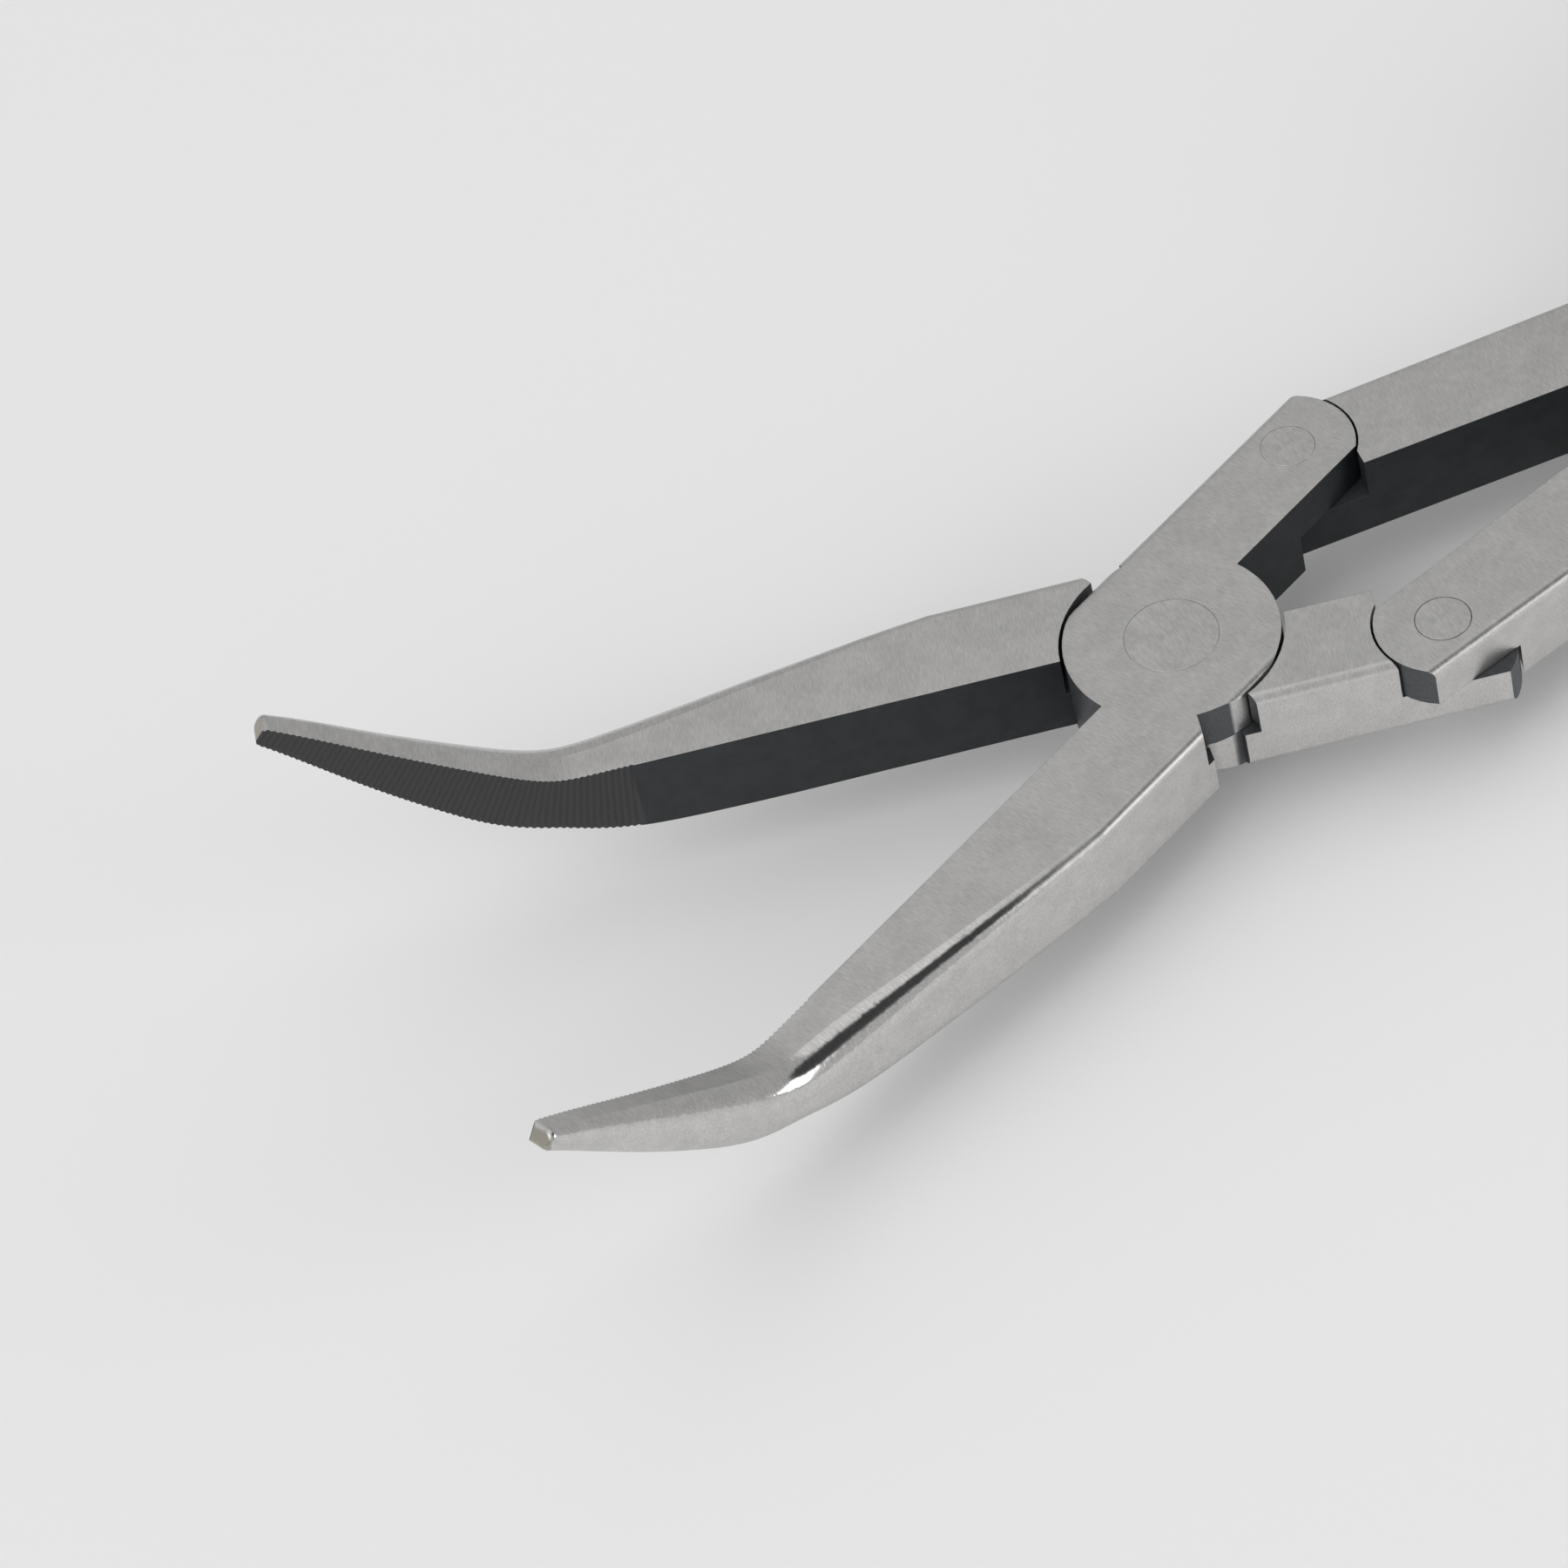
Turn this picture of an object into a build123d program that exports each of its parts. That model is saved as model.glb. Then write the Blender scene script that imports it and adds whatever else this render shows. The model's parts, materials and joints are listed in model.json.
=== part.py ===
"""Long-reach fishing pliers with a double lever joint and a bent nose.

Two crossing jaws turn on a main rivet. A small rivet links each jaw's tail to a handle lever, and the
two levers cross again on a second rivet behind them, so a light squeeze gives a hard bite. The tool is
drawn closed, when it is a straight bar, and every piece is then turned about its rivet into the half
open rest position. All lengths are millimetres and +Z is up, along the rivets.

The origin is the middle of the main rivet's lower face. The nose points to -X and the grips to +X.
Left and right are as the hand holds the tool, with the nose pointing away: left is -Y.
The right half is the left half turned half a turn about the centre line, except for the bent nose,
whose two sides mirror each other.
"""

from build123d import *
from math import asin, cos, degrees, radians, sin
import os

# ---- driving dimensions ----
THICKNESS = 8.0            # forging, measured along the rivets
LAP_PLAY = 0.06            # gap between two lapped faces
BAR_HALF_WIDTH = 8.9       # closed bar, centre line to ground side
EDGE_ROUND = 0.8           # rounding along the ground sides
MEETING_GAP = 0.1          # gripping face to the centre line when closed
TAIL_GAP = 0.42            # inner side of tails and levers to the centre line when closed

MAIN_DISC_R = 9.0          # joint disc round the main rivet
LEVER_HALF_WIDTH = 9.8     # lever, centre line to ground side, at the crossing
LEVER_DISC_R = 9.9         # joint disc round the rivet where the levers cross
SHOULDER_PLAY = 0.3        # ring gap between a disc and its shoulders
NEST_PLAY = 0.2            # ring gap between a link tongue and its nest
NEST_CORNER = 1.5          # cut off the nest's corner on the inner side
RELIEF_DEPTH = 0.75        # groove in the near shoulder beside the lap
RELIEF_HEIGHT = 0.8
LINK_TONGUE_R = 5.7        # round end of the tongue at each link rivet
# Corners of the shoulders on the outer side, as directions from the rivet, 0 being the near end.
DISC_CORNERS = (127.0, 67.0)      # far and near, beside the piece's own disc
POCKET_CORNERS = (124.0, 60.0)    # far and near, beside the pocket for the other disc

LINK_DISTANCE = 22.1       # main rivet to link rivet
LINK_ANGLE = 13.6          # direction of the link rivet when closed
LEVER_LENGTH = 41.0        # link rivet to lever rivet
JAW_OPEN = 19.25           # each jaw's turn from closed to the rest position

RIVET_FIT = 0.05           # running clearance on the radius
OPEN_RIVET_FIT = 0.30      # clearance at the pivot where the linkage loop is left open
MAIN_RIVET = dict(head_r=3.95, shank_r=3.0, sink=0.95)
LINK_RIVET = dict(head_r=2.3, shank_r=1.7, sink=0.6)
LEVER_RIVET = dict(head_r=3.95, shank_r=3.0, sink=0.95)

NOSE_ROOT_X = -19.0        # where the nose starts to taper
TOOTH_PITCH = 0.55         # cross teeth on the gripping faces
TOOTH_DEPTH = 0.14
TIP_ROUND = 0.5

TANG_START_X = 84.0        # the lever is thinner from here, inside the grip
TANG_CUT = 1.3             # tang face below the forging face
TANG_END_X = 249.0
COVER_WALL = 2.6           # soft cover over the hard core
COLLAR = (78.6, -8.0, 13.4, 11.0)
PALM_INLAY = dict(x=148.0, length=78.0, height=8.0)
FINGER_INLAY = dict(x=150.0, length=58.0, height=7.0)

# Nose stations: upper corner (x, z) and lower corner (x, z) of the gripping face, depth, back radius.
NOSE_STATIONS = [
    ((NOSE_ROOT_X, 8.0), (NOSE_ROOT_X, 0.0), 8.9, 0.8),
    ((-22.5, 8.0), (-22.5, 0.0), 8.6, 1.0),
    ((-27.5, 8.0), (-27.5, 0.0), 8.05, 1.3),
    ((-36.0, 8.0), (-36.0, 0.0), 7.0, 1.8),
    ((-45.3, 8.0), (-46.1, 0.6), 5.9, 2.5),
    ((-51.0, 8.15), (-52.4, 2.6), 5.2, 2.4),
    ((-54.2, 9.45), (-56.6, 4.4), 4.8, 2.3),
    ((-57.5, 11.6), (-60.2, 7.1), 4.4, 2.2),
    ((-63.6, 15.95), (-66.0, 12.75), 3.6, 1.75),
    ((-69.7, 20.5), (-71.2, 18.5), 2.8, 1.1),
    ((-72.7, 22.6), (-73.8, 21.2), 2.3, 0.75),
]
STATION_SPACING = 4.3      # of the sections that the nose is lofted through
BEND_FROM = 4              # station where the bend and the cross teeth start

# Tang edges behind the crossing, from its front end to its back end (x, y when closed).
TANG_INNER = [(82.0, -5.3), (100.0, -11.8), (135.0, -17.9), (185.0, -19.8), (TANG_END_X, -13.9)]
TANG_OUTER = [(82.0, -13.2), (100.0, -18.7), (135.0, -24.1), (185.0, -25.8), (TANG_END_X, -19.3)]

# Grip stations along the left lever (x, y when closed), section width and height.
GRIP_STATIONS = [
    (82.0, -9.3, 16.0, 12.6),
    (86.0, -10.9, 21.0, 16.5),
    (92.0, -13.0, 24.0, 18.5),
    (100.0, -15.2, 21.0, 17.3),
    (112.0, -17.8, 19.0, 16.6),
    (135.0, -21.0, 20.5, 17.4),
    (160.0, -22.6, 21.5, 18.0),
    (185.0, -22.8, 20.5, 17.4),
    (210.0, -21.4, 19.4, 16.8),
    (235.0, -18.6, 20.0, 17.0),
    (252.0, -16.2, 20.0, 16.6),
    (260.5, -14.9, 13.0, 10.5),
]

# ---- worked out from them ----
LAP = THICKNESS / 2
FAR = 400.0


def polar(radius, angle):
    """The plan point at a radius and an angle in degrees."""
    return radius * cos(radians(angle)), radius * sin(radians(angle))


LINK_X, LINK_Y = polar(LINK_DISTANCE, LINK_ANGLE)
LINK_REST_X, LINK_REST_Y = polar(LINK_DISTANCE, LINK_ANGLE + JAW_OPEN)
LEVER_ANGLE = degrees(asin(LINK_Y / LEVER_LENGTH))
LEVER_ANGLE_REST = degrees(asin(LINK_REST_Y / LEVER_LENGTH))
LEVER_OPEN = LEVER_ANGLE_REST - LEVER_ANGLE
CROSSING_X = LINK_X + LEVER_LENGTH * cos(radians(LEVER_ANGLE))
CROSSING_REST_X = LINK_REST_X + LEVER_LENGTH * cos(radians(LEVER_ANGLE_REST))


# ---- helpers ----
def prism(points, low=-1.0, high=THICKNESS + 1.0):
    """A straight-sided block over a plan outline, between two heights."""
    outline = make_face(Polyline(*points, close=True))
    return extrude(Pos(0, 0, low) * outline, amount=high - low)


def post(x, radius, low=-1.0, high=THICKNESS + 1.0, y=0.0):
    """A round post standing at x, y."""
    return Pos(x, y, low) * Cylinder(radius, high - low, align=(Align.CENTER, Align.CENTER, Align.MIN))


def side_of(x_low, x_high, y_low, y_high, low=-1.0, high=THICKNESS + 1.0):
    """A rectangular block between limits."""
    return prism([(x_low, y_low), (x_high, y_low), (x_high, y_high), (x_low, y_high)], low, high)


def half_turn(shape):
    """The same piece for the other half: half a turn about the centre line at mid height."""
    return Pos(0, 0, THICKNESS) * Rot(180, 0, 0) * shape


def mirrored(shape):
    """The same piece on the other side of the plane through the centre line and the rivets."""
    return mirror(shape, about=Plane.XZ)


def rounded_bar(x0, x1, half_width):
    """A straight bar on the centre line with its four long edges rounded."""
    plane = Plane(origin=(x0, 0, LAP), x_dir=(0, 1, 0), z_dir=(1, 0, 0))
    return extrude(plane * RectangleRounded(2 * half_width, THICKNESS, EDGE_ROUND), amount=x1 - x0)


def shoulder_cut(x, corner, flip, side, low, high):
    """What is cut from the outer side between a shoulder's corner and the disc's widest point.

    side is 1 for the piece's near part and -1 for its far part, which lie on opposite sides.
    """
    points = [(x, 0)]
    for angle in (corner, (corner + 90) / 2, 90):
        dx, dy = polar(30, angle)
        points.append((x + flip * dx, side * dy))
    if flip * side * (90 - corner) < 0:
        points.reverse()
    return prism(points, low, high)


def rivet(head_r, shank_r, sink, play=0.0):
    """A rivet with a countersunk head flush at each face; with play, the hole that it runs in."""
    head = head_r + play
    shank = shank_r + play
    profile = Polyline((0, 0), (head, 0), (shank, sink), (shank, THICKNESS - sink),
                       (head, THICKNESS), (0, THICKNESS), close=True)
    return revolve(Plane.XZ * make_face(profile), Axis.Z)


def crossing_cuts(x, disc_r, flip):
    """What a crossing piece loses round its disc: the other disc's pocket, its relief and two corners.

    flip is 1 for a jaw, whose near part, the tail, lies to the right of the disc, and -1 for a lever.
    """
    floor = LAP + LAP_PLAY / 2
    pocket_r = disc_r + SHOULDER_PLAY
    near_x = (x, FAR) if flip > 0 else (-FAR, x)
    relief = post(x, pocket_r + RELIEF_DEPTH, low=floor - RELIEF_HEIGHT, high=floor)
    lower_cut = post(x, pocket_r, high=floor) + (relief & side_of(*near_x, -FAR, FAR))
    upper_cut = []
    for side, disc_corner, pocket_corner in zip((-1, 1), DISC_CORNERS, POCKET_CORNERS):
        lower_cut += shoulder_cut(x, pocket_corner, flip, side, -1, floor)
        upper_cut.append(shoulder_cut(x, disc_corner, flip, side, floor, THICKNESS + 1))
    return lower_cut, Compound(upper_cut) - post(x, disc_r)


def nest_cut(end_x, low, high):
    """What a tail or arm loses round the other piece's link tongue, from the link to its own end."""
    flip = 1 if end_x > LINK_X else -1
    inner_x = LINK_X - flip * LINK_TONGUE_R * 0.6
    corner = [(inner_x, TAIL_GAP - 1), (inner_x - flip * NEST_CORNER, TAIL_GAP - 1),
              (inner_x - flip * NEST_CORNER, TAIL_GAP + NEST_CORNER), (inner_x, TAIL_GAP + 2 * NEST_CORNER)]
    if flip > 0:
        corner.reverse()
    nest = post(LINK_X, LINK_TONGUE_R + NEST_PLAY, low, high, y=LINK_Y)
    nest += side_of(min(LINK_X, end_x), max(LINK_X, end_x), 0, FAR, low, high)
    return nest + prism(corner, low, high)


# ---- jaws ----
def nose_section(upper, lower, depth, back_r):
    """One section of the left side of the nose: flat on the centre plane, rounded at the back."""
    up = Vector(upper[0] - lower[0], 0, upper[1] - lower[1])
    centre = Vector((upper[0] + lower[0]) / 2, 0, (upper[1] + lower[1]) / 2)
    plane = Plane(origin=centre, x_dir=(0, -1, 0), z_dir=Vector(0, -1, 0).cross(up))
    block = Pos(depth / 2, 0) * Rectangle(depth, up.length)
    back_corners = block.vertices().group_by(Axis.X)[-1]
    return plane * fillet(back_corners, back_r)


def even_nose_stations():
    """The nose's stations with more between them, on one smooth curve, so that none are far apart."""
    rows = [[*up, *low, depth, back_r] for up, low, depth, back_r in NOSE_STATIONS]
    reach = [0.0]
    for a, b in zip(rows, rows[1:]):
        reach.append(reach[-1] + (Vector(b[0] + b[2], b[1] + b[3]) - Vector(a[0] + a[2], a[1] + a[3])).length / 2)
    slopes = []
    for i in range(len(rows)):
        before, after = max(i - 1, 0), min(i + 1, len(rows) - 1)
        slopes.append([(b - a) / (reach[after] - reach[before]) for a, b in zip(rows[before], rows[after])])
    stations = []
    for i in range(len(rows) - 1):
        gap = reach[i + 1] - reach[i]
        count = max(round(gap / STATION_SPACING), 1)
        for k in range(count):
            t = k / count
            ease = t * t * (3 - 2 * t)
            start_pull, end_pull = t * (1 - t) ** 2 * gap, -t * t * (1 - t) * gap
            row = [a + ease * (b - a) + start_pull * p + end_pull * q
                   for a, b, p, q in zip(rows[i], rows[i + 1], slopes[i], slopes[i + 1])]
            stations.append(((row[0], row[1]), (row[2], row[3]), row[4], row[5]))
    return stations + [NOSE_STATIONS[-1]]


def tooth_groove(middle, along, across):
    """One V groove across the gripping face at a point of its middle line."""
    plane = Plane(origin=middle, x_dir=along, z_dir=across)
    half_pitch = TOOTH_PITCH / 2
    groove = Polyline((-half_pitch, 0), (half_pitch, 0), (half_pitch, MEETING_GAP),
                      (0, MEETING_GAP + TOOTH_DEPTH), (-half_pitch, MEETING_GAP), close=True)
    return extrude(plane * make_face(groove), amount=THICKNESS, both=True)


def cross_teeth():
    """The grooves across the gripping face, square to the nose, from the bend to the tip."""
    uppers = [Vector(up[0], 0, up[1]) for up, low, depth, back_r in NOSE_STATIONS[BEND_FROM:]]
    lowers = [Vector(low[0], 0, low[1]) for up, low, depth, back_r in NOSE_STATIONS[BEND_FROM:]]
    middles = [(upper + lower) / 2 for upper, lower in zip(uppers, lowers)]
    grooves = []
    reached = 0.0
    for i in range(len(middles) - 1):
        step = middles[i + 1] - middles[i]
        while reached < step.length:
            share = reached / step.length
            across = (uppers[i] - lowers[i]).normalized() * (1 - share)
            across += (uppers[i + 1] - lowers[i + 1]).normalized() * share
            along = Vector(0, 1, 0).cross(across) * -1
            grooves.append(tooth_groove(middles[i] + step * share, along, across))
            reached += TOOTH_PITCH
        reached -= step.length
    return grooves


def nose():
    """The left side of the nose: a D section that tapers, thins and bends up beyond the straight."""
    solid = loft([nose_section(*station) for station in even_nose_stations()])
    solid = fillet(solid.faces().sort_by(Axis.X)[0].edges(), TIP_ROUND)
    solid -= side_of(-FAR, FAR, -MEETING_GAP, FAR, low=-FAR, high=FAR)
    return solid - cross_teeth()


def jaw_rear():
    """The left jaw behind the nose root: root, disc in the upper level, tail and link tongue."""
    bar = rounded_bar(NOSE_ROOT_X, LINK_X + LINK_TONGUE_R + 1, BAR_HALF_WIDTH)
    disc = post(0, MAIN_DISC_R)
    root = side_of(NOSE_ROOT_X, 0, -FAR, -MEETING_GAP)
    tail = side_of(0, LINK_X, TAIL_GAP, FAR)
    tongue = post(LINK_X, LINK_TONGUE_R, y=LINK_Y) & side_of(LINK_X - 1, FAR, TAIL_GAP, FAR)
    solid = bar & (disc + root + tail + tongue)
    lower_cut, upper_cut = crossing_cuts(0, MAIN_DISC_R, flip=1)
    return solid - lower_cut - upper_cut - nest_cut(FAR, -1, LAP + LAP_PLAY / 2)


def jaws():
    """Both jaws, closed, with the hole that each keeps for the rivets."""
    rear = jaw_rear()
    main_tight = rivet(**MAIN_RIVET)
    main_loose = rivet(**MAIN_RIVET, play=RIVET_FIT)
    link_tight = rivet(**LINK_RIVET)
    side = nose()
    left = rear + side - main_tight - Pos(LINK_X, LINK_Y, 0) * link_tight
    right = half_turn(rear) + mirrored(side) - main_loose - Pos(LINK_X, -LINK_Y, 0) * link_tight
    return left, right


# ---- levers ----
def lever_arm():
    """The arm from the link tongue to the crossing, on the right of the centre line, side rounded."""
    x0 = LINK_X - LINK_TONGUE_R - 1
    outline = [(x0, TAIL_GAP), (CROSSING_X, TAIL_GAP), (CROSSING_X, LEVER_HALF_WIDTH), (x0, BAR_HALF_WIDTH)]
    arm = prism(outline, 0, THICKNESS)
    ground_side = arm.faces().sort_by(Axis.Y)[-1]
    long_edges = ground_side.edges().filter_by(Axis.Z, reverse=True)
    return fillet(long_edges, EDGE_ROUND)


def lever_neck():
    """The neck and tang behind the crossing, on the left of the centre line, edges rounded."""
    start = (CROSSING_X - 1, -TAIL_GAP)
    front = (CROSSING_X + 4, -TAIL_GAP)
    inner = Spline(front, *TANG_INNER, tangents=[(1, 0), (1, 0.11)])
    outer = Spline((CROSSING_X - 1, -LEVER_HALF_WIDTH), *TANG_OUTER, tangents=[(1, 0), (1, 0.11)])
    end = Line(inner @ 1, outer @ 1)
    outline = make_face([Line(start, front), inner, end, outer, Line(outer @ 0, start)])
    neck = extrude(outline, amount=THICKNESS)
    curved = [edge for edge in neck.edges() if edge.geom_type == GeomType.BSPLINE]
    neck = fillet(curved, EDGE_ROUND)
    neck -= side_of(TANG_START_X, FAR, -FAR, FAR, high=TANG_CUT)
    return neck - side_of(TANG_START_X, FAR, -FAR, FAR, low=THICKNESS - TANG_CUT)


def lever():
    """The left lever, closed: linked on the right, crossing in the upper level, tang on the left."""
    bar = rounded_bar(CROSSING_X - 12, CROSSING_X + 12, LEVER_HALF_WIDTH)
    disc = post(CROSSING_X, LEVER_DISC_R) & bar
    solid = lever_arm() + disc + lever_neck()
    lower_cut, upper_cut = crossing_cuts(CROSSING_X, LEVER_DISC_R, flip=-1)
    tongue = post(LINK_X, LINK_TONGUE_R, y=LINK_Y)
    before_link = side_of(-FAR, LINK_X, -FAR, FAR)
    nest = nest_cut(-FAR, LAP - LAP_PLAY / 2, THICKNESS + 1)
    return solid - lower_cut - upper_cut - (before_link - tongue) - nest


def levers():
    """Both levers, closed, with their rivet holes."""
    blank = lever()
    link_hole = rivet(**LINK_RIVET, play=RIVET_FIT)
    tight = Pos(CROSSING_X, 0, 0) * rivet(**LEVER_RIVET)
    open_hole = Pos(CROSSING_X, 0, 0) * rivet(**LEVER_RIVET, play=OPEN_RIVET_FIT)
    left = blank - Pos(LINK_X, LINK_Y, 0) * link_hole - tight
    right = half_turn(blank) - Pos(LINK_X, -LINK_Y, 0) * link_hole - open_hole
    return left, right


# ---- grips ----
def grip_section(station, before, after):
    """One rounded section square to the grip's line."""
    x, y, width, height = station
    along = Vector(after[0] - before[0], after[1] - before[1], 0)
    plane = Plane(origin=(x, y, LAP), x_dir=Vector(-along.Y, along.X, 0), z_dir=along)
    return plane * RectangleRounded(width, height, 0.42 * min(width, height))


def grip_body(stations, ruled=False):
    """A closed body through a row of grip sections, curved or with straight stretches between them."""
    before = [stations[0]] + stations[:-1]
    after = stations[1:] + [stations[-1]]
    sections = [grip_section(s, b, a) for s, b, a in zip(stations, before, after)]
    return loft(sections, ruled=ruled)


def pill_block(x, length, height, y_low, y_high):
    """A block whose outline, seen from the side, is a pill lying along the grip."""
    outline = Plane.XZ * Pos(x, LAP) * SlotOverall(length, height)
    return extrude(Pos(0, y_high, 0) * outline, amount=y_high - y_low)


def grip_line_y(x):
    """Where the grip's middle line is at x, straight between its stations."""
    for (x0, y0, _, _), (x1, y1, _, _) in zip(GRIP_STATIONS, GRIP_STATIONS[1:]):
        if x0 <= x <= x1:
            return y0 + (y1 - y0) * (x - x0) / (x1 - x0)
    return GRIP_STATIONS[-1][1]


def grip(steel):
    """The left grip: hard core on the tang, soft cover, and inlays in palm side and finger side."""
    whole = grip_body(GRIP_STATIONS)
    inside = [(x, y, w - 2 * COVER_WALL, h - 2 * COVER_WALL) for x, y, w, h in GRIP_STATIONS[1:-1]]
    core = grip_body([COLLAR] + inside, ruled=True)
    shell = whole - core
    palm = shell & pill_block(**PALM_INLAY, y_low=-60, y_high=grip_line_y(PALM_INLAY["x"]))
    finger = shell & pill_block(**FINGER_INLAY, y_low=grip_line_y(FINGER_INLAY["x"]), y_high=20)
    cover = shell - palm - finger
    return {"grip_core": core - steel, "grip_cover": cover, "palm_inlay": palm, "finger_inlay": finger}


# ---- placing ----
def jaw_at_rest(shape, side):
    """Turned open about the main rivet; side is 1 for the left jaw and -1 for the right."""
    return Rot(0, 0, side * JAW_OPEN) * shape


def lever_at_rest(shape, side):
    """Turned open about its link rivet, which has moved with the jaw's tail."""
    at_link = Pos(-LINK_X, -side * LINK_Y, 0) * shape
    return Pos(LINK_REST_X, side * LINK_REST_Y, 0) * Rot(0, 0, -side * LEVER_OPEN) * at_link


def build():
    """Every piece by its node name, in the rest position."""
    left_jaw, right_jaw = jaws()
    left_lever, right_lever = levers()
    pieces = {
        "left_jaw": jaw_at_rest(left_jaw, 1),
        "right_jaw": jaw_at_rest(right_jaw, -1),
        "main_rivet": rivet(**MAIN_RIVET),
        "right_link_rivet": Pos(LINK_REST_X, LINK_REST_Y, 0) * rivet(**LINK_RIVET),
        "left_link_rivet": Pos(LINK_REST_X, -LINK_REST_Y, 0) * rivet(**LINK_RIVET),
        "lever_rivet": Pos(CROSSING_REST_X, 0, 0) * rivet(**LEVER_RIVET),
        "left_lever": lever_at_rest(left_lever, 1),
        "right_lever": lever_at_rest(right_lever, -1),
    }
    for name, shape in grip(left_lever).items():
        pieces["left_" + name] = lever_at_rest(shape, 1)
        pieces["right_" + name] = lever_at_rest(half_turn(shape), -1)
    return pieces


os.makedirs("parts", exist_ok=True)
for node, shape in build().items():
    export_step(shape, f"parts/{node}.step")
print("link rivet at rest", round(LINK_REST_X, 3), round(LINK_REST_Y, 3))
print("lever rivet at rest", round(CROSSING_REST_X, 3), "each lever opens", round(LEVER_OPEN, 3))
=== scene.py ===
# %% [markdown]
# # Fishing pliers
# Long-reach pliers of forged steel, with a nose that bends up, fine cross teeth, a double lever joint on
# rivets and two long soft grips. The steel pieces come finished in shape from the CAD frame, so this
# lesson gives them their finishes, builds the soft grips in detail, and sets up camera, floor and light.
# Everything is in metres and in the frame's own axes: +Z up along the rivets, nose to -X, grips to +X.

# %% load the frame
import json
from math import asin, cos, degrees, pi, radians, sin, sqrt

import bmesh
import bpy
from mathutils import Matrix, Vector


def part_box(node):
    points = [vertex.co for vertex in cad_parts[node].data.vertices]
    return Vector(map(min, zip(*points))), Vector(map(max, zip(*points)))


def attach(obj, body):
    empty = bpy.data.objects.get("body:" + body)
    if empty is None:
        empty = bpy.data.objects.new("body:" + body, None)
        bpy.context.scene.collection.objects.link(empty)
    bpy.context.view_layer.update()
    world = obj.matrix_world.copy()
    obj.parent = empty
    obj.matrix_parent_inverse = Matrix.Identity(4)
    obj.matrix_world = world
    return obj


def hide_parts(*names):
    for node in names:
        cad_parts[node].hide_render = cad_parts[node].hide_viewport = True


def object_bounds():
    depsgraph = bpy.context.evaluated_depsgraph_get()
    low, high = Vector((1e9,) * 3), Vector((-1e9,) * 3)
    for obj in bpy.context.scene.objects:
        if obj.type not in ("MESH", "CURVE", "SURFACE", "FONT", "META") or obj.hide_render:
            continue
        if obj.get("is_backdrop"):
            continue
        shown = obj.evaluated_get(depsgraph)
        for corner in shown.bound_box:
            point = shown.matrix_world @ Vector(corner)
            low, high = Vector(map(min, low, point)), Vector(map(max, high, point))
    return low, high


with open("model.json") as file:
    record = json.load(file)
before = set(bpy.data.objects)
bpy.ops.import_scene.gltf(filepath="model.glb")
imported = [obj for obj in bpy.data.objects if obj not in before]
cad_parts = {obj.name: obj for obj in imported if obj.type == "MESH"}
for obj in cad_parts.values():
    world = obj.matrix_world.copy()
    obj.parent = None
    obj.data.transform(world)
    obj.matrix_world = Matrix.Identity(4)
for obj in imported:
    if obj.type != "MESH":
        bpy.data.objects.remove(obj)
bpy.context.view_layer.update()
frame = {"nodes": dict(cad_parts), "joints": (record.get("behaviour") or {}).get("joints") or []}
nodes = frame["nodes"]
joints = {joint["name"]: joint for joint in frame["joints"]}
MM = 0.001
print("nodes", sorted(nodes))

# %% [markdown]
# ## Camera
# The pliers are seen from above and from the nose side, from about half a metre, with a long lens, so
# that nose and joint fill the view while the grips run out of it. The camera could follow a target with
# a constraint. It is set instead by the point that it stands at, the direction that it looks in and the
# side of it that is up, the way a tripod is set, because that leaves nothing to solve.

# %% camera
CAMERA_AT = Vector((-0.13287, -0.31666, 0.39138))
CAMERA_LOOKS = Vector((0.19471, 0.63114, -0.75084))
CAMERA_UP = Vector((0.46509, 0.61456, 0.63719))
LENS = 144.82  # mm, on a sensor 36 mm wide


def aim(look, up):
    """A turn that points an object's -Z along look, with its +Y as near to up as can be."""
    back = -look.normalized()
    right = up.cross(back).normalized()
    return Matrix((right, back.cross(right), back)).transposed().to_4x4()


def set_camera():
    data = bpy.data.cameras.new("camera")
    data.lens = LENS
    data.sensor_width = 36.0
    data.clip_start = 0.01
    camera = bpy.data.objects.new("camera", data)
    camera.matrix_world = Matrix.Translation(CAMERA_AT) @ aim(CAMERA_LOOKS, CAMERA_UP)
    bpy.context.scene.collection.objects.link(camera)
    bpy.context.scene.camera = camera
    return camera


camera = set_camera()
print("camera stands", round(CAMERA_AT.length, 3), "m from the main rivet")

# %% [markdown]
# ## Shader helper
# Every finish here is a tree of small nodes. Adding and linking nodes by hand takes three lines for each
# sum, so a small class holds one material while it is made: each method adds a node and returns what
# comes out of it, and the tree reads like a formula.

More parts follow.
